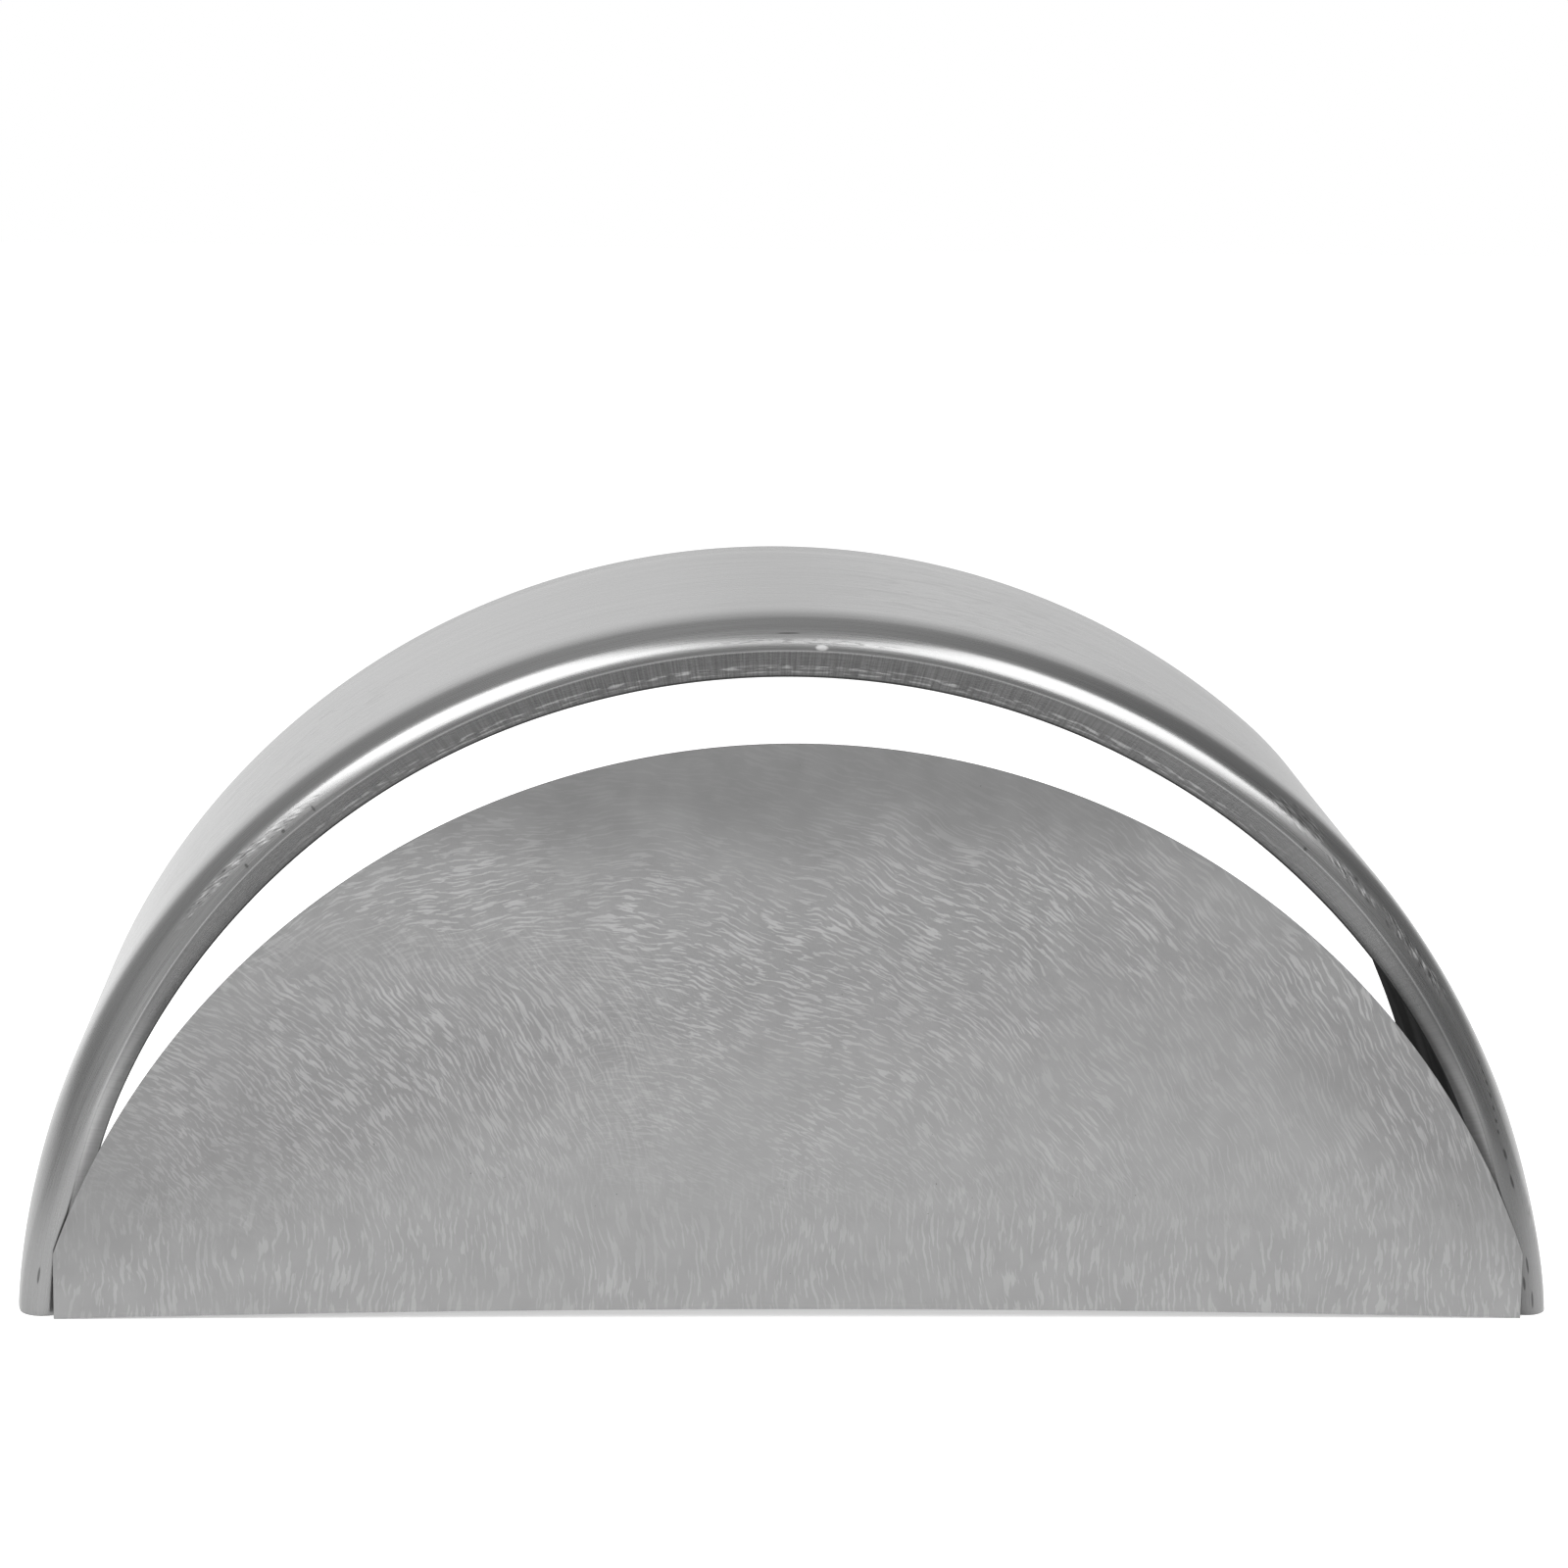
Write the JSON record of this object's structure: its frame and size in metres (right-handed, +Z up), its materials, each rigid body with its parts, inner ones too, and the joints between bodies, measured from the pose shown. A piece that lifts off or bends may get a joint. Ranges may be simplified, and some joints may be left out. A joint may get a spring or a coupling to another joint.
{
  "type": "trailer mudguard",
  "caption": "Rolled half-round steel wheel guard with a folded front edge, and a loose half-moon side plate that leans on it.",
  "frame": {"origin": "on the ground, in the middle of the box that holds both sheets", "axes": "+X along the arch to the right, +Y from the rolled front edge to the plain rear edge, +Z up"},
  "size_m": [0.8084, 0.2336, 0.368],
  "materials": {
    "rolled_steel": "bare satin sheet steel, brushed along the arch",
    "plate_steel": "bare matt sheet steel with dried wipe marks"
  },
  "bodies": {
    "root": {"guard": "rolled_steel", "side_plate": "plate_steel"}
  },
  "joints": []
}
